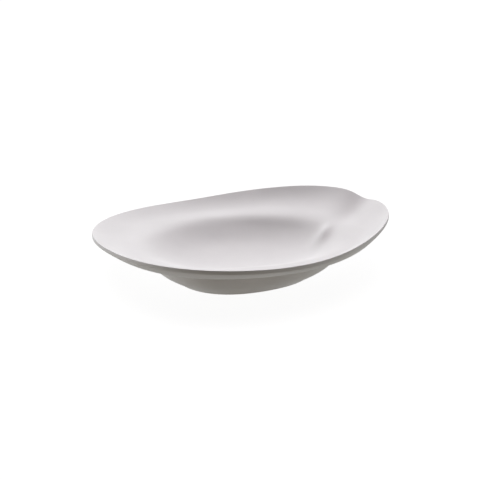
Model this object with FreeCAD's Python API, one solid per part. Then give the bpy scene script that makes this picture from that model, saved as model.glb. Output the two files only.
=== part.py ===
import FreeCAD, Part
import math
import os

# One free-form ceramic dish, cast in one piece: a shallow oval well, a wide flange that rises to
# the lip, one soft pinch in the lip, a short crease at the end of the well, and a hollow foot.
# Millimetres, +Z up, foot on Z = 0, +X along the longest side, origin under the middle of the
# dish's outline. Outlines and rings are drawn in polar form around the well's middle: a heading
# is an angle in degrees, anticlockwise from +X seen from above.

NODE = "dish_body"

# Where the well's middle lies, and how high its floor is above the table.
WELL_X = -9.0
WELL_Y = 0.0
FLOOR_HEIGHT = 13.6

# Outlines: mean radius, then waves as (order, size, heading). Order 1 shifts the outline,
# 2 makes it oval, 3 egg-shaped, 4 squarish. The foot's wall leaves the underside of the flange
# on one outline and meets the table on another.
LIP_RADIUS = 125.7
LIP_WAVES = ((1, 14.1, 54.5), (2, 12.8, 26.5), (3, 8.9, 34.2), (4, 3.3, -37.1))
WELL_RADIUS = 74.4
WELL_WAVES = ((1, 7.6, -41.4), (2, 9.2, 5.4), (3, 3.9, 1.2))
FOOT_WALL_RADIUS = 75.1
FOOT_WALL_WAVES = ((1, 7.6, -28.8), (2, 9.8, 5.8), (3, 5.2, 0.1))
FOOT_RADIUS = 56.7
FOOT_WAVES = ((1, 8.2, -22.0), (2, 4.5, 7.8), (3, 3.4, 5.7), (4, 0.5, 16.3))

# The pinch draws the lip in and down: size, heading, spread in degrees.
PINCH_IN = (19.8, 62.3, 18.7)
PINCH_DOWN = (3.6, 27.7, 14.8)

# Rings of the upper face above the floor: share of the well's radius, mean height, waves.
WELL_RINGS = (
    (0.42, 1.4, ()),
    (0.70, 5.9, ((1, 0.7, 132.8),)),
    (0.90, 12.5, ((1, 0.3, 41.1),)),
    (1.10, 18.0, ((1, 2.0, -32.0), (2, 1.3, 52.8))),
)
# Rings of the flange: share of the way from the shoulder to the lip, mean height, waves.
FLANGE_RINGS = (
    (0.42, 19.0, ((1, 2.8, -38.1), (2, 2.2, 48.0))),
    (0.76, 22.6, ((1, 4.3, -40.0), (2, 3.2, 51.3))),
)
LIP_HEIGHT = 27.0
LIP_HEIGHT_WAVES = ((1, 5.8, -22.0), (2, 5.1, 50.2), (3, 0.3, 21.0))

# Local folds in the upper face: height, X and Y from the well's middle, heading of the fold,
# its spread lengthways and crossways.
CREASE = (5.3, 82.2, 15.8, 70.0, 10.9, 3.9)
VALLEY = (-4.7, 119.6, 73.9, 63.0, 27.6, 9.7)

# Clay thickness, measured straight down, at shares of the way from the foot wall to the lip.
WALL = 5.5
FLANGE_THICKNESS = ((0.00, 5.5), (0.45, 4.6), (0.80, 6.2), (1.00, 4.1))
LIP_THICKNESS = 4.1
LIP_ROUND = 0.8

# Foot: how far its outer wall swells, as a share of the way that it leans in; the resting ring;
# the hollow's lean and the edge of its ceiling.
FOOT_WALL_SWELL = 0.29
FOOT_RING_WIDTH = 4.5
FOOT_ROUND = 0.8
RECESS_DRAFT = 3.0
RECESS_SHARE = 0.86

# The well's floor is a small flat disc with a narrow level border, and so is the recess's ceiling.
CENTRE_RADIUS = 8.0
CENTRE_BORDER = 0.6

# How finely the faces are drawn.
HALVINGS = 40
ANGLES = 120
WELL_STATIONS = 20
FLANGE_STATIONS = 16
UNDER_STATIONS = 12
FOOT_STATIONS = 6
RECESS_STATIONS = 8
DEGREE = 3


def waves(theta, mean, orders):
    """A length that changes with the angle theta round the dish."""
    total = mean
    for order, size, heading in orders:
        total += size * math.cos(order * (theta - math.radians(heading)))
    return total


def local_dent(theta, dent):
    """A dent round one heading of the lip, falling off on both sides."""
    size, heading, spread = dent
    away = math.remainder(theta - math.radians(heading), 2 * math.pi)
    return size * math.exp(-0.5 * (away / math.radians(spread)) ** 2)


def fold(x, y, shape):
    """Height that a crease or a valley adds at a point of the upper face."""
    height, x0, y0, heading, long_spread, short_spread = shape
    c = math.cos(math.radians(heading))
    s = math.sin(math.radians(heading))
    along = (x - x0) * c + (y - y0) * s
    across = (y - y0) * c - (x - x0) * s
    return height * math.exp(-0.5 * ((along / long_spread) ** 2 + (across / short_spread) ** 2))


def lip_radius(theta):
    return waves(theta, LIP_RADIUS, LIP_WAVES) - local_dent(theta, PINCH_IN)


def bends(values, flat_start):
    """Second differences of the cubic curve through equally spaced values."""
    n = len(values)
    ratio = [0.5 if flat_start else 0.0]
    right = [3.0 * (values[1] - values[0]) if flat_start else 0.0]
    for i in range(1, n - 1):
        pivot = 4.0 - ratio[i - 1]
        ratio.append(1.0 / pivot)
        step = 6.0 * (values[i + 1] - 2.0 * values[i] + values[i - 1])
        right.append((step - right[i - 1]) / pivot)
    bend = [0.0] * n
    for i in range(n - 2, -1, -1):
        bend[i] = right[i] - ratio[i] * bend[i + 1]
    return bend


def curve_at(values, bend, u):
    """The cubic curve through equally spaced values, at place u."""
    i = min(int(u), len(values) - 2)
    b = u - i
    a = 1.0 - b
    curved = (a ** 3 - a) * bend[i] + (b ** 3 - b) * bend[i + 1]
    return a * values[i] + b * values[i + 1] + curved / 6.0


class Section:
    """The dish cut along one heading: the upper face as a curve of radius and height."""

    def __init__(self, theta):
        self.theta = theta
        self.lip = lip_radius(theta)
        self.well = waves(theta, WELL_RADIUS, WELL_WAVES)
        self.foot_wall = waves(theta, FOOT_WALL_RADIUS, FOOT_WALL_WAVES)
        self.foot = waves(theta, FOOT_RADIUS, FOOT_WAVES)
        shoulder = WELL_RINGS[-1][0] * self.well
        self.radii = [0.0]
        self.heights = [0.0]
        for share, height, orders in WELL_RINGS:
            self.radii.append(share * self.well)
            self.heights.append(waves(theta, height, orders))
        for share, height, orders in FLANGE_RINGS:
            self.radii.append(shoulder + share * (self.lip - shoulder))
            self.heights.append(waves(theta, height, orders))
        self.radii.append(self.lip)
        self.heights.append(waves(theta, LIP_HEIGHT, LIP_HEIGHT_WAVES) - local_dent(theta, PINCH_DOWN))
        self.radius_bends = bends(self.radii, False)
        self.height_bends = bends(self.heights, True)

    def place_of(self, radius):
        """Place along the curve where it reaches a radius."""
        low = 0.0
        high = len(self.radii) - 1.0
        for _ in range(HALVINGS):
            middle = 0.5 * (low + high)
            if curve_at(self.radii, self.radius_bends, middle) < radius:
                low = middle
            else:
                high = middle
        return low

    def top(self, radius):
        """Height of the upper face above the table at a radius."""
        height = curve_at(self.heights, self.height_bends, self.place_of(radius))
        x = radius * math.cos(self.theta)
        y = radius * math.sin(self.theta)
        return FLOOR_HEIGHT + height + fold(x, y, CREASE) + fold(x, y, VALLEY)

    def point(self, radius, height):
        return FreeCAD.Vector(
            WELL_X + radius * math.cos(self.theta), WELL_Y + radius * math.sin(self.theta), height
        )

    def foot_point(self, inset, height):
        """A point of the foot's outline, moved in towards the well's middle by inset."""
        return self.point(self.foot - inset, height)

    def thickness(self, radius):
        """Clay thickness of the flange at a radius."""
        share = (radius - self.foot_wall) / (self.lip - self.foot_wall)
        for (s0, t0), (s1, t1) in zip(FLANGE_THICKNESS, FLANGE_THICKNESS[1:]):
            if share <= s1:
                return t0 + (t1 - t0) * max(0.0, share - s0) / (s1 - s0)
        return FLANGE_THICKNESS[-1][1]


def steps(start, end, count):
    """Values from start up to, but not including, end."""
    return [start + (end - start) * i / count for i in range(count)]


def upper_row(section):
    """Well floor, well wall, shoulder and flange, from the middle out to the lip."""
    floor = section.top(0.0)
    shoulder = WELL_RINGS[-1][0] * section.well
    flat_to = CENTRE_RADIUS + CENTRE_BORDER
    radii = steps(flat_to, shoulder, WELL_STATIONS)[1:]
    radii += steps(shoulder, section.lip - 3 * LIP_ROUND, FLANGE_STATIONS)
    row = [section.point(CENTRE_RADIUS, floor), section.point(flat_to, floor)]
    row += [section.point(radius, section.top(radius)) for radius in radii]
    return row


def lip_row(section):
    """The rounded lip: over its upper edge, down its outer face, round its lower edge."""
    upper = section.top(section.lip)
    lower = upper - LIP_THICKNESS
    inside = section.lip - LIP_ROUND
    return [
        section.point(inside, section.top(inside)),
        section.point(section.lip, upper - LIP_ROUND / 2),
        section.point(section.lip, upper - 2 * LIP_ROUND),
        section.point(section.lip, lower + 2 * LIP_ROUND),
        section.point(section.lip, lower + LIP_ROUND / 2),
        section.point(inside, section.top(inside) - section.thickness(inside)),
    ]


def under_row(section):
    """Underside of the flange, from the lip in to the top of the foot's outer wall."""
    row = []
    for radius in steps(section.lip - 3 * LIP_ROUND, section.foot_wall, UNDER_STATIONS):
        row.append(section.point(radius, section.top(radius) - section.thickness(radius)))
    return row


def foot_wall_row(section):
    """Outer wall of the foot, from the flange down to the rounded edge of the resting ring."""
    radius = section.foot_wall
    high = section.top(radius) - section.thickness(radius)
    lean = radius - section.foot
    row = []
    for share in steps(0.0, 1.0, FOOT_STATIONS):
        swell = 4.0 * share * (1.0 - share) * FOOT_WALL_SWELL
        row.append(section.point(radius + lean * (swell - share), high + (FOOT_ROUND - high) * share))
    row += [section.foot_point(0.0, FOOT_ROUND), section.foot_point(0.0, 0.0)]
    row.append(section.foot_point(FOOT_ROUND, 0.0))
    return row


def recess_row(section):
    """Hollow under the foot: up its inner wall, then in under the well floor."""
    edge = section.foot - FOOT_RING_WIDTH - RECESS_DRAFT
    edge_height = section.top(edge) - WALL
    row = [
        section.foot_point(FOOT_RING_WIDTH - FOOT_ROUND, 0.0),
        section.foot_point(FOOT_RING_WIDTH, 0.0),
        section.foot_point(FOOT_RING_WIDTH, FOOT_ROUND),
        section.foot_point(FOOT_RING_WIDTH + RECESS_DRAFT / 2, edge_height / 2),
        section.point(edge, edge_height - 3 * FOOT_ROUND),
        section.point(edge, edge_height),
    ]
    flat_to = CENTRE_RADIUS + CENTRE_BORDER
    for radius in steps(RECESS_SHARE * edge, flat_to, RECESS_STATIONS):
        row.append(section.point(radius, section.top(radius) - WALL))
    ceiling = section.top(0.0) - WALL
    row += [section.point(flat_to, ceiling), section.point(CENTRE_RADIUS, ceiling)]
    return row


def skin(rows):
    """A smooth face that closes on itself round the dish, drawn by rows of control points."""
    poles = [list(column) for column in zip(*rows)]
    spans = len(poles) - DEGREE
    ends = [DEGREE + 1] + [1] * (spans - 1) + [DEGREE + 1]
    around = [1] * (len(rows) + 1)
    surface = Part.BSplineSurface()
    surface.buildFromPolesMultsKnots(
        poles,
        ends,
        around,
        [float(i) for i in range(spans + 1)],
        [float(i) for i in range(len(rows) + 1)],
        False,
        True,
        DEGREE,
        DEGREE,
    )
    return surface.toShape()


def rims(face):
    """The closed edges at the two ends of a skin, lower edge first."""
    closed = [edge for edge in face.Edges if edge.isClosed() and not edge.isSeam(face)]
    return sorted(closed, key=lambda edge: edge.BoundBox.ZMin + edge.BoundBox.ZMax)


def dish_body():
    sections = [Section(2 * math.pi * i / ANGLES) for i in range(ANGLES)]
    outside = skin([upper_row(s) + lip_row(s) + under_row(s) + foot_wall_row(s) for s in sections])
    recess = skin([recess_row(s) for s in sections])
    foot_outer, floor_edge = rims(outside)
    foot_inner, ceiling_edge = rims(recess)
    floor = Part.Face(Part.Wire([floor_edge]))
    ceiling = Part.Face(Part.Wire([ceiling_edge]))
    ring = Part.Face([Part.Wire([foot_outer]), Part.Wire([foot_inner])])
    shell = Part.makeShell([outside, recess, floor, ceiling, ring])
    shell.sewShape()
    body = Part.makeSolid(shell)
    if body.Volume < 0:
        body.reverse()
    return body


def build():
    os.makedirs("parts", exist_ok=True)
    body = dish_body()
    body.exportStep(f"parts/{NODE}.step")


build()
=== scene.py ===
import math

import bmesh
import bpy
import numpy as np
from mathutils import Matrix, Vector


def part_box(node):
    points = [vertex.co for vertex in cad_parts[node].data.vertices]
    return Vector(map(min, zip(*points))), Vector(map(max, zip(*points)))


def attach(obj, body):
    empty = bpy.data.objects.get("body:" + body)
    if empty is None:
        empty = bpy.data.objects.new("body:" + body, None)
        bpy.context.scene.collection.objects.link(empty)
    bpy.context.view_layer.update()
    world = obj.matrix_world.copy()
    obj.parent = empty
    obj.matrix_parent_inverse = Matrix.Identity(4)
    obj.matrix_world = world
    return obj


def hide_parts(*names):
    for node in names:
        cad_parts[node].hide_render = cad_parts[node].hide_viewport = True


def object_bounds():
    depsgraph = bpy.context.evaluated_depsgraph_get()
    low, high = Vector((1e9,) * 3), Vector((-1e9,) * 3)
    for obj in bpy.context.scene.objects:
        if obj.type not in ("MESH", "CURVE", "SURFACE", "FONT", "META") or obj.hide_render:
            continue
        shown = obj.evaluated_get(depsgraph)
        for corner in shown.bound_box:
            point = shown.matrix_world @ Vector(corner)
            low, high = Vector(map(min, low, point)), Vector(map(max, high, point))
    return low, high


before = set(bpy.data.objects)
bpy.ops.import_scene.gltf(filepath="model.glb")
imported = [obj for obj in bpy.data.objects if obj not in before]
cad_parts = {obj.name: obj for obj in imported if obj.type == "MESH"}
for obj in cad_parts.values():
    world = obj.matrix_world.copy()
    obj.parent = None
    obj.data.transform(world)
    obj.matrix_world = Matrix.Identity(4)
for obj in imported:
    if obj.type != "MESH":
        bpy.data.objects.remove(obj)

# One free-form dish of matt white ceramic on a pale floor. Metres, in the part's own frame:
# +Z up, foot on Z = 0, +X towards the end with the crease, +Y away from the camera.
# Outlines and rings are polar, round the well's middle: a heading is an angle in degrees,
# anticlockwise from +X seen from above. The shape repeats the part's own formula. Only the
# crease and the lip's rounding have other numbers, because the part's surface softens them.

NODE = "dish_body"
BODY = "root"
CAD_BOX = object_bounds()
MM = 0.001

# --- the dish's form, in millimetres ---

# The well's middle, and its floor's height above the table.
WELL_X = -9.0
WELL_Y = 0.0
FLOOR_HEIGHT = 13.6

# Outlines: mean radius, then waves as (order, size, heading).
LIP_RADIUS = 125.7
LIP_WAVES = ((1, 14.1, 54.5), (2, 12.8, 26.5), (3, 8.9, 34.2), (4, 3.3, -37.1))
WELL_RADIUS = 74.4
WELL_WAVES = ((1, 7.6, -41.4), (2, 9.2, 5.4), (3, 3.9, 1.2))
FOOT_WALL_RADIUS = 75.1
FOOT_WALL_WAVES = ((1, 7.6, -28.8), (2, 9.8, 5.8), (3, 5.2, 0.1))
FOOT_RADIUS = 56.7
FOOT_WAVES = ((1, 8.2, -22.0), (2, 4.5, 7.8), (3, 3.4, 5.7), (4, 0.5, 16.3))

# The pinch draws the lip in and down: size, heading, spread.
PINCH_IN = (19.8, 62.3, 18.7)
PINCH_DOWN = (3.6, 27.7, 14.8)

# Rings of the upper face: share of the well's radius, or of the way from the shoulder to the
# lip, then mean height above the floor, then waves.
WELL_RINGS = (
    (0.42, 1.4, ()),
    (0.70, 5.9, ((1, 0.7, 132.8),)),
    (0.90, 12.5, ((1, 0.3, 41.1),)),
    (1.10, 18.0, ((1, 2.0, -32.0), (2, 1.3, 52.8))),
)
FLANGE_RINGS = (
    (0.42, 19.0, ((1, 2.8, -38.1), (2, 2.2, 48.0))),
    (0.76, 22.6, ((1, 4.3, -40.0), (2, 3.2, 51.3))),
)
LIP_HEIGHT = 27.0
LIP_HEIGHT_WAVES = ((1, 5.8, -22.0), (2, 5.1, 50.2), (3, 0.3, 21.0))

# Folds: height, X and Y from the well's middle, heading, spread lengthways and crossways.
CREASE = (5.0, 82.2, 15.8, 70.0, 10.9, 4.1)
VALLEY = (-4.7, 119.6, 73.9, 63.0, 27.6, 9.7)

# Clay thickness straight down, at shares of the way from the foot wall to the lip.
WALL = 5.5
FLANGE_THICKNESS = ((0.00, 5.5), (0.45, 4.6), (0.80, 6.2), (1.00, 4.1))
LIP_THICKNESS = 4.1
LIP_ROUND = 1.1
# The flange's underside starts this far in from the lip.
LIP_BORDER = 3 * LIP_ROUND

# Foot: its wall's swell as a share of its lean, the resting ring, and the hollow inside.
FOOT_WALL_SWELL = 0.29
FOOT_RING_WIDTH = 4.5
FOOT_ROUND = 0.8
RECESS_DRAFT = 3.0
RECESS_SHARE = 0.86
RECESS_CORNER = 3 * FOOT_ROUND

# --- how finely it is meshed ---

# Columns round the dish, and a square grid in its middle: squares along a side, and the share of
# the well's radius where the grid ends.
ANGLES = 360
PATCH = ANGLES // 4
PATCH_SHARE = 0.34
# Places where each section's curve is worked out, and rows from the grid over the lip.
CURVE_PLACES = 700
UPPER_ROWS = 84
ARC_ROWS = 6
# Underside: rows between control points, and control points on its parts.
SUB_ROWS = 3
UNDER_STATIONS = 12
FOOT_STATIONS = 6
RECESS_STATIONS = 5
DEGREE = 3
# Faces of the resting ring are lower than this, in metres.
RING_BAND = 0.0004


def waves(theta, mean, orders):
    """A length that changes with the angle theta round the dish."""
    return mean + sum(size * math.cos(n * (theta - math.radians(turn))) for n, size, turn in orders)


def local_dent(theta, dent):
    """A dent round one heading of the lip, falling off on both sides."""
    size, heading, spread = dent
    away = math.remainder(theta - math.radians(heading), 2 * math.pi)
    return size * math.exp(-0.5 * (away / math.radians(spread)) ** 2)


def fold(x, y, shape):
    """Height that the crease or the valley adds at points of the upper face."""
    height, x0, y0, heading, long_spread, short_spread = shape
    c = math.cos(math.radians(heading))
    s = math.sin(math.radians(heading))
    along = (x - x0) * c + (y - y0) * s
    across = (y - y0) * c - (x - x0) * s
    return height * np.exp(-0.5 * ((along / long_spread) ** 2 + (across / short_spread) ** 2))


def curve_weights(count, places, flat_start):
    """Weights that draw the cubic curve through equally spaced values at the given places."""
    left = np.eye(count)
    right = np.zeros((count, count))
    for i in range(1, count - 1):
        left[i, i - 1:i + 2] = (1, 4, 1)
        right[i, i - 1:i + 2] = (6, -12, 6)
    if flat_start:
        left[0, :2] = (2, 1)
        right[0, :2] = (-6, 6)
    bends = np.linalg.solve(left, right)
    near = np.minimum(places.astype(int), count - 2)
    b = (places - near)[:, None]
    a = 1.0 - b
    value = np.eye(count)
    curved = (a ** 3 - a) * bends[near] + (b ** 3 - b) * bends[near + 1]
    return a * value[near] + b * value[near + 1] + curved / 6.0


RING_COUNT = 2 + len(WELL_RINGS) + len(FLANGE_RINGS)
PLACES = np.linspace(0.0, RING_COUNT - 1.0, CURVE_PLACES)
RADIUS_WEIGHTS = curve_weights(RING_COUNT, PLACES, False)
HEIGHT_WEIGHTS = curve_weights(RING_COUNT, PLACES, True)


class Section:
    """The dish cut along one heading, in millimetres."""

    def __init__(self, theta):
        self.out = np.array((math.cos(theta), math.sin(theta)))
        self.lip = waves(theta, LIP_RADIUS, LIP_WAVES) - local_dent(theta, PINCH_IN)
        self.well = waves(theta, WELL_RADIUS, WELL_WAVES)
        self.foot = waves(theta, FOOT_RADIUS, FOOT_WAVES)
        self.foot_wall = waves(theta, FOOT_WALL_RADIUS, FOOT_WALL_WAVES)
        shoulder = WELL_RINGS[-1][0] * self.well
        radii = [0.0] + [share * self.well for share, _, _ in WELL_RINGS]
        radii += [shoulder + share * (self.lip - shoulder) for share, _, _ in FLANGE_RINGS]
        heights = [0.0] + [waves(theta, h, orders) for _, h, orders in WELL_RINGS + FLANGE_RINGS]
        lip_height = waves(theta, LIP_HEIGHT, LIP_HEIGHT_WAVES) - local_dent(theta, PINCH_DOWN)
        self.radii = RADIUS_WEIGHTS @ np.array(radii + [self.lip])
        self.heights = HEIGHT_WEIGHTS @ np.array(heights + [lip_height])

    def top(self, radius):
        """Height of the upper face above the table at radii from the well's middle."""
        radius = np.asarray(radius, float)
        x, y = radius * self.out[0], radius * self.out[1]
        height = np.interp(radius, self.radii, self.heights)
        return FLOOR_HEIGHT + height + fold(x, y, CREASE) + fold(x, y, VALLEY)

    def points(self, radius, height):
        """Points at radii from the well's middle."""
        radius, height = np.broadcast_arrays(np.atleast_1d(radius), height)
        return np.column_stack((WELL_X + radius * self.out[0], WELL_Y + radius * self.out[1], height))

    def foot_points(self, inset, height):
        """Points of the foot's outline, moved in by inset."""
        return self.points(self.foot - np.atleast_1d(inset), height)

    def thickness(self, radius):
        """Clay thickness of the flange at radii."""
        share = (np.asarray(radius) - self.foot_wall) / (self.lip - self.foot_wall)
        shares, sizes = zip(*FLANGE_THICKNESS)
        return np.interp(share, shares, sizes)


def arc(start, corner, end, count):
    """A rounded corner from start to end."""
    t = np.linspace(0.0, 1.0, count + 1)[:, None]
    return (1 - t) ** 2 * start + 2 * t * (1 - t) * corner + t ** 2 * end


def smooth_rows(control, per_span):
    """A cubic B-spline drawn by control rows, pinned at both ends."""
    spans = len(control) - DEGREE
    knots = np.concatenate((np.zeros(DEGREE), np.arange(spans + 1), np.full(DEGREE, spans)))
    t = np.linspace(0.0, spans, spans * per_span + 1)
    basis = ((knots[:-1] <= t[:, None]) & (t[:, None] < knots[1:])).astype(float)
    basis[-1, spans + DEGREE - 1] = 1.0
    for degree in range(1, DEGREE + 1):
        gap = knots[degree:] - knots[:-degree]
        slope = (t[:, None] - knots[:-degree]) / np.where(gap > 0, gap, 1.0)
        basis = slope[:, :-1] * basis[:, :-1] + (1 - slope[:, 1:]) * basis[:, 1:] * (gap[1:] > 0)
    return np.einsum("ij,jkl->ikl", basis, np.asarray(control))


def upper_column(section):
    """Well and flange from the edge of the middle patch, then over the lip's upper edge."""
    inside = section.lip - LIP_ROUND
    start = section.points(inside, section.top(inside))[0]
    corner = section.points(section.lip, section.top(section.lip))[0]
    end = corner - np.array((0.0, 0.0, LIP_ROUND))
    radii = np.linspace(PATCH_SHARE * section.well, inside, UPPER_ROWS)
    return np.vstack((section.points(radii, section.top(radii)), arc(start, corner, end, ARC_ROWS)[1:]))


def lower_control(section):
    """Control points from the lip's outer face, under the flange and foot, to the recess."""
    lip, wall = section.lip, section.foot_wall
    lip_top = section.top(lip)
    lip_face = lip_top - np.array((LIP_ROUND, LIP_THICKNESS / 2, LIP_THICKNESS - LIP_ROUND,
                                   LIP_THICKNESS - LIP_ROUND / 3))
    under = np.append(lip - LIP_ROUND, np.linspace(lip - LIP_BORDER, wall, UNDER_STATIONS + 1))
    wall_top = section.top(wall) - section.thickness(wall)
    share = np.linspace(0.0, 1.0, FOOT_STATIONS + 1)[1:]
    lean = (wall - section.foot) * (4.0 * share * (1.0 - share) * FOOT_WALL_SWELL - share)
    ring = (0.0, FOOT_ROUND, FOOT_RING_WIDTH / 2, FOOT_RING_WIDTH - FOOT_ROUND, FOOT_RING_WIDTH)
    return np.vstack((
        section.points(lip, lip_face),
        section.points(under, section.top(under) - section.thickness(under)),
        section.points(wall + lean, wall_top + (FOOT_ROUND - wall_top) * share),
        section.foot_points(ring, 0.0),
        recess_control(section),
    ))


def recess_control(section):
    """Control points up the recess's inner wall, then in under the well floor."""
    edge = section.foot - FOOT_RING_WIDTH - RECESS_DRAFT
    edge_height = section.top(edge) - WALL
    across = np.linspace(RECESS_SHARE * edge, PATCH_SHARE * section.well, RECESS_STATIONS + 1)
    return np.vstack((
        section.foot_points(FOOT_RING_WIDTH, FOOT_ROUND),
        section.foot_points(FOOT_RING_WIDTH + RECESS_DRAFT / 2, edge_height / 2),
        section.points(edge, (edge_height - RECESS_CORNER, edge_height)),
        section.points(across, section.top(across) - WALL),
    ))


def patch_grid():
    """The square grid that fills the middle, wrapped on a disc: share of the way out, column."""
    steps = np.linspace(-1.0, 1.0, PATCH + 1)
    a, b = np.meshgrid(steps, steps, indexing="ij")
    share = np.maximum(abs(a), abs(b))
    safe = np.where(share > 0, share, 1.0)
    sideways = np.where(a >= 0, b / safe, 4 - b / safe)
    endways = np.where(b > 0, 2 - a / safe, 6 + a / safe)
    eighths = np.where(abs(a) >= abs(b), sideways, endways)
    return share, (eighths * ANGLES / 8) % ANGLES


def fill_middle(verts, first, lower):
    """Quads that close the surface inside the ring of vertices that starts at first."""
    share, column = patch_grid()
    ring = np.array(verts[first:first + ANGLES])[:, :2]
    looped = np.vstack((ring, ring[:1]))
    columns = np.arange(ANGLES + 1)
    edge = np.stack([np.interp(column, columns, looped[:, k]) for k in (0, 1)], axis=-1)
    middle = np.array((WELL_X, WELL_Y))
    index = np.zeros(share.shape, int)
    for i, j in np.ndindex(share.shape):
        if share[i, j] == 1.0:
            index[i, j] = first + int(round(column[i, j])) % ANGLES
            continue
        x, y = share[i, j] * (edge[i, j] - middle)
        height = Section(math.atan2(y, x)).top(math.hypot(x, y)) - lower
        index[i, j] = len(verts)
        verts.append((WELL_X + x, WELL_Y + y, float(height)))
    a, b, c, d = index[:-1, :-1], index[1:, :-1], index[1:, 1:], index[:-1, 1:]
    return np.stack((a, b, c, d), axis=-1).reshape(-1, 4).tolist()


def dish_mesh():
    """One closed quad mesh of the whole dish, in metres, fitted to the CAD node's box."""
    sections = [Section(2 * math.pi * i / ANGLES) for i in range(ANGLES)]
    upper = np.stack([upper_column(s) for s in sections], axis=1)
    lower = smooth_rows(np.stack([lower_control(s) for s in sections], axis=1), SUB_ROWS)
    rows = np.concatenate((upper, lower[1:]))
    verts = [tuple(v) for v in rows.reshape(-1, 3)]
    faces = []
    for i in range(len(rows) - 1):
        for k in range(ANGLES):
            here, there = i * ANGLES, (i + 1) * ANGLES
            after = (k + 1) % ANGLES
            faces.append((here + k, here + after, there + after, there + k))
    last = (len(rows) - 1) * ANGLES
    faces += fill_middle(verts, 0, 0.0)
    faces += fill_middle(verts, last, WALL)
    points = np.array(verts) * MM
    low, high = (np.array(corner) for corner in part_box(NODE))
    size = points.max(axis=0) - points.min(axis=0)
    points = low + (points - points.min(axis=0)) * (high - low) / size
    mesh = bpy.data.meshes.new("dish")
    mesh.from_pydata(points.tolist(), [], faces)
    bm = bmesh.new()
    bm.from_mesh(mesh)
    bmesh.ops.recalc_face_normals(bm, faces=bm.faces)
    for face in bm.faces:
        face.smooth = True
        if face.calc_center_median().z < RING_BAND:
            face.material_index = 1
    bm.to_mesh(mesh)
    bm.free()
    return mesh


# --- materials ---

# Matt glaze. Colours are darkest first, scales are per metre, heights are in metres.
GLAZE_TONES = ((0.735, 0.722, 0.732), (0.775, 0.762, 0.772))
CLOUD_SCALE = 28.0
SPECK_TONES = ((0.93, 0.925, 0.92), (1.0, 1.0, 1.0))
SPECK_SCALE = 900.0
SPECK_EDGES = (0.26, 0.34)
GLAZE_ROUGHNESS = (0.52, 0.64)
SHEEN_SCALE = 60.0
GLAZE_SPECULAR = 0.35
SILK_SCALE = 1400.0
SILK_HEIGHT = 0.00004
SILK_STRENGTH = 0.35
RIPPLE_SCALE = 55.0
RIPPLE_HEIGHT = 0.0004
RIPPLE_STRENGTH = 0.12

# Bare clay of the resting ring.
CLAY_TONES = ((0.56, 0.53, 0.49), (0.70, 0.67, 0.63))
CLAY_SCALE = 220.0
CLAY_ROUGHNESS = (0.8, 0.95)
DUST_SCALE = 300.0
GRAIN_SCALE = 1800.0
GRAIN_HEIGHT = 0.00008
GRAIN_STRENGTH = 0.6
COARSE = 0.7

# Where the soft change between two tones starts and ends in the noise.
TONE_EDGES = (0.3, 0.7)


def material(name):
    """A node material, its tree, its shader, and its object-space coordinates."""
    made = bpy.data.materials.new(name)
    made.use_nodes = True
    tree = made.node_tree
    place = tree.nodes.new("ShaderNodeTexCoord")
    return made, tree, tree.nodes["Principled BSDF"], place.outputs["Object"]


def noise(tree, place, scale, detail, roughness=0.5):
    """A random value between 0 and 1 that changes smoothly from place to place."""
    node = tree.nodes.new("ShaderNodeTexNoise")
    node.inputs["Scale"].default_value = scale
    node.inputs["Detail"].default_value = detail
    node.inputs["Roughness"].default_value = roughness
    tree.links.new(place, node.inputs["Vector"])
    return node.outputs["Fac"]


def ramp(tree, value, tones, edges):
    """Colours from one tone to the other as value goes from one edge to the other."""
    node = tree.nodes.new("ShaderNodeValToRGB")
    for element, tone, edge in zip(node.color_ramp.elements, tones, edges):
        element.position = edge
        element.color = (*tone, 1.0)
    tree.links.new(value, node.inputs["Fac"])
    return node.outputs["Color"]


def between(tree, value, limits):
    """A value from 0 to 1 brought to the range between two limits."""
    node = tree.nodes.new("ShaderNodeMapRange")
    node.inputs["To Min"].default_value = limits[0]
    node.inputs["To Max"].default_value = limits[1]
    tree.links.new(value, node.inputs["Value"])
    return node.outputs["Result"]


def multiply(tree, a, b):
    """One colour times another."""
    node = tree.nodes.new("ShaderNodeMix")
    node.data_type = "RGBA"
    node.blend_type = "MULTIPLY"
    node.inputs["Factor"].default_value = 1.0
    tree.links.new(a, node.inputs["A"])
    tree.links.new(b, node.inputs["B"])
    return node.outputs["Result"]


def bump(tree, height, distance, strength, under=None):
    """A normal tilted by a height, on top of the normal under it."""
    node = tree.nodes.new("ShaderNodeBump")
    node.inputs["Distance"].default_value = distance
    node.inputs["Strength"].default_value = strength
    tree.links.new(height, node.inputs["Height"])
    if under is not None:
        tree.links.new(under, node.inputs["Normal"])
    return node.outputs["Normal"]


def matt_glaze():
    """Matt white glaze: cloudy tone, faint fine specks, a soft broad sheen, a silky grain."""
    made, tree, shader, place = material("matt_glaze")
    cloud = ramp(tree, noise(tree, place, CLOUD_SCALE, 3.0), GLAZE_TONES, TONE_EDGES)
    speck = ramp(tree, noise(tree, place, SPECK_SCALE, 2.0), SPECK_TONES, SPECK_EDGES)
    tree.links.new(multiply(tree, cloud, speck), shader.inputs["Base Color"])
    sheen = between(tree, noise(tree, place, SHEEN_SCALE, 4.0), GLAZE_ROUGHNESS)
    tree.links.new(sheen, shader.inputs["Roughness"])
    shader.inputs["Specular IOR Level"].default_value = GLAZE_SPECULAR
    silk = bump(tree, noise(tree, place, SILK_SCALE, 2.0), SILK_HEIGHT, SILK_STRENGTH)
    ripple = bump(tree, noise(tree, place, RIPPLE_SCALE, 1.5), RIPPLE_HEIGHT, RIPPLE_STRENGTH, silk)
    tree.links.new(ripple, shader.inputs["Normal"])
    return made


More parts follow.
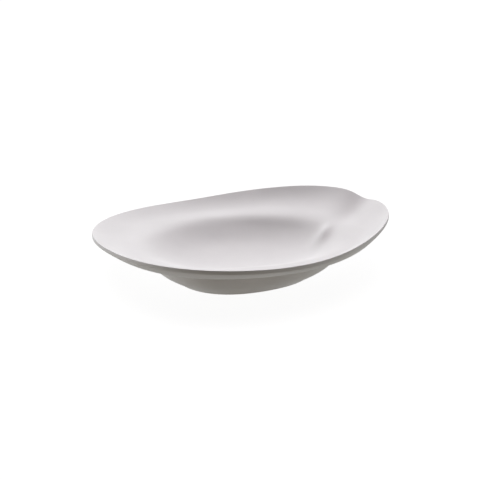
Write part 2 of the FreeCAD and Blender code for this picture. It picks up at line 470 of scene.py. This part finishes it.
def bare_clay():
    """The unglazed ring that the dish stands on: slightly darker, dry and sandy."""
    made, tree, shader, place = material("bare_clay")
    tone = ramp(tree, noise(tree, place, CLAY_SCALE, 5.0, COARSE), CLAY_TONES, TONE_EDGES)
    tree.links.new(tone, shader.inputs["Base Color"])
    dust = between(tree, noise(tree, place, DUST_SCALE, 3.0), CLAY_ROUGHNESS)
    tree.links.new(dust, shader.inputs["Roughness"])
    grain = bump(tree, noise(tree, place, GRAIN_SCALE, 4.0, COARSE), GRAIN_HEIGHT, GRAIN_STRENGTH)
    tree.links.new(grain, shader.inputs["Normal"])
    return made


# --- studio ---

# The camera looks at a point near the middle of the CAD box: degrees and metres, with the lens
# and the sensor's width in millimetres.
CAMERA_AZIMUTH = -0.4
CAMERA_ELEVATION = 19.9
CAMERA_DISTANCE = 1.24
CAMERA_AIM = (-0.0014, 0.0046, 0.0053)
CAMERA_LENS = 103.4
SENSOR = 36.0

# Large soft lights far off, most of them behind the dish, and the glow of the table round it:
# azimuth from straight behind the dish towards +X, elevation, strength, tint.
OVERHEAD = (1.04, 0.97, 0.99)
BEHIND = (0.97, 1.02, 1.01)
TABLE = (1.02, 1.01, 0.97)
FRONT = (1.30, 1.05, 0.65)
SOFT_LIGHTS = (
    (0.0, 65.0, 2.40, OVERHEAD),
    (-30.0, 40.0, 0.96, BEHIND),
    (0.0, 15.0, 1.63, BEHIND),
    (-30.0, -20.0, 0.68, BEHIND),
    (30.0, -20.0, 0.84, BEHIND),
    (-90.0, -20.0, 1.75, TABLE),
    (90.0, -20.0, 1.33, TABLE),
    (180.0, -30.0, 0.20, FRONT),
)
LIGHT_FOCUS = 6.0

# The floor is a wide disc that sweeps up into a round backdrop.
FLOOR_RADIUS = 2.4
SWEEP_RADIUS = 1.2
BACKDROP_HEIGHT = 3.0
STAGE_SEGMENTS = 96
SWEEP_STEPS = 16
STAGE_TONE = (0.15, 0.15, 0.15)
STAGE_GLOW = 0.93


def make_camera():
    """The camera, looking at a point near the middle of the dish."""
    lo, hi = CAD_BOX
    target = (lo + hi) / 2 + Vector(CAMERA_AIM)
    turn = math.radians(CAMERA_AZIMUTH)
    rise = math.radians(CAMERA_ELEVATION)
    back = Vector((math.sin(turn) * math.cos(rise), -math.cos(turn) * math.cos(rise), math.sin(rise)))
    data = bpy.data.cameras.new("camera")
    data.sensor_width = SENSOR
    data.lens = CAMERA_LENS
    camera = bpy.data.objects.new("camera", data)
    camera.location = target + back * CAMERA_DISTANCE
    camera.rotation_mode = "QUATERNION"
    camera.rotation_quaternion = (-back).to_track_quat("-Z", "Y")
    bpy.context.collection.objects.link(camera)
    bpy.context.scene.camera = camera


def world_math(tree, operation, value, other):
    """One sum done on a value in the surroundings' node tree."""
    node = tree.nodes.new("ShaderNodeMath")
    node.operation = operation
    node.inputs[1].default_value = other
    tree.links.new(value, node.inputs[0])
    return node.outputs[0]


def soft_light(tree, outward, azimuth, elevation, strength, tint):
    """The glow of one soft light in the surroundings, as a colour."""
    turn = math.radians(azimuth)
    rise = math.radians(elevation)
    towards = tree.nodes.new("ShaderNodeVectorMath")
    towards.operation = "DOT_PRODUCT"
    towards.inputs[1].default_value = (
        math.sin(turn) * math.cos(rise), math.cos(turn) * math.cos(rise), math.sin(rise)
    )
    tree.links.new(outward, towards.inputs[0])
    facing = world_math(tree, "MAXIMUM", towards.outputs["Value"], 0.0)
    glow = tree.nodes.new("ShaderNodeVectorMath")
    glow.operation = "SCALE"
    glow.inputs[0].default_value = [strength * part for part in tint]
    tree.links.new(world_math(tree, "POWER", facing, LIGHT_FOCUS), glow.inputs["Scale"])
    return glow.outputs["Vector"]


def make_world():
    """The studio's surroundings: dark but for its soft lights."""
    world = bpy.data.worlds.new("studio")
    world.use_nodes = True
    tree = world.node_tree
    outward = tree.nodes.new("ShaderNodeTexCoord").outputs["Generated"]
    total = None
    for light in SOFT_LIGHTS:
        glow = soft_light(tree, outward, *light)
        if total is None:
            total = glow
            continue
        both = tree.nodes.new("ShaderNodeVectorMath")
        tree.links.new(total, both.inputs[0])
        tree.links.new(glow, both.inputs[1])
        total = both.outputs["Vector"]
    tree.links.new(total, tree.nodes["Background"].inputs["Color"])
    bpy.context.scene.world = world


def stage_mesh():
    """A disc whose edge sweeps up into a round wall."""
    profile = [(FLOOR_RADIUS, 0.0)]
    for i in range(1, SWEEP_STEPS + 1):
        turn = 0.5 * math.pi * i / SWEEP_STEPS
        profile.append((FLOOR_RADIUS + SWEEP_RADIUS * math.sin(turn), SWEEP_RADIUS * (1 - math.cos(turn))))
    profile.append((FLOOR_RADIUS + SWEEP_RADIUS, BACKDROP_HEIGHT))
    verts = []
    for radius, height in profile:
        for k in range(STAGE_SEGMENTS):
            turn = 2 * math.pi * k / STAGE_SEGMENTS
            verts.append((radius * math.cos(turn), radius * math.sin(turn), height))
    faces = [tuple(range(STAGE_SEGMENTS))]
    for i in range(len(profile) - 1):
        for k in range(STAGE_SEGMENTS):
            here, there = i * STAGE_SEGMENTS, (i + 1) * STAGE_SEGMENTS
            after = (k + 1) % STAGE_SEGMENTS
            faces.append((here + k, there + k, there + after, here + after))
    mesh = bpy.data.meshes.new("floor")
    mesh.from_pydata(verts, [], faces)
    for face in mesh.polygons:
        face.use_smooth = True
    return mesh


def make_stage():
    """Pale floor and backdrop. They catch a faint shadow and keep no light from the dish."""
    stage = bpy.data.objects.new("floor", stage_mesh())
    bpy.context.collection.objects.link(stage)
    made = bpy.data.materials.new("floor")
    made.use_nodes = True
    shader = made.node_tree.nodes["Principled BSDF"]
    shader.inputs["Base Color"].default_value = (*STAGE_TONE, 1.0)
    shader.inputs["Roughness"].default_value = 1.0
    shader.inputs["Specular IOR Level"].default_value = 0.0
    shader.inputs["Emission Color"].default_value = (1.0, 1.0, 1.0, 1.0)
    shader.inputs["Emission Strength"].default_value = STAGE_GLOW
    stage.data.materials.append(made)
    stage.visible_diffuse = False
    stage.visible_glossy = False
    stage.visible_shadow = False


make_camera()
make_world()
make_stage()

dish = bpy.data.objects.new("dish", dish_mesh())
bpy.context.collection.objects.link(dish)
dish.data.materials.append(matt_glaze())
dish.data.materials.append(bare_clay())
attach(dish, BODY)
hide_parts(NODE)

bpy.context.scene.view_settings.view_transform = "Standard"
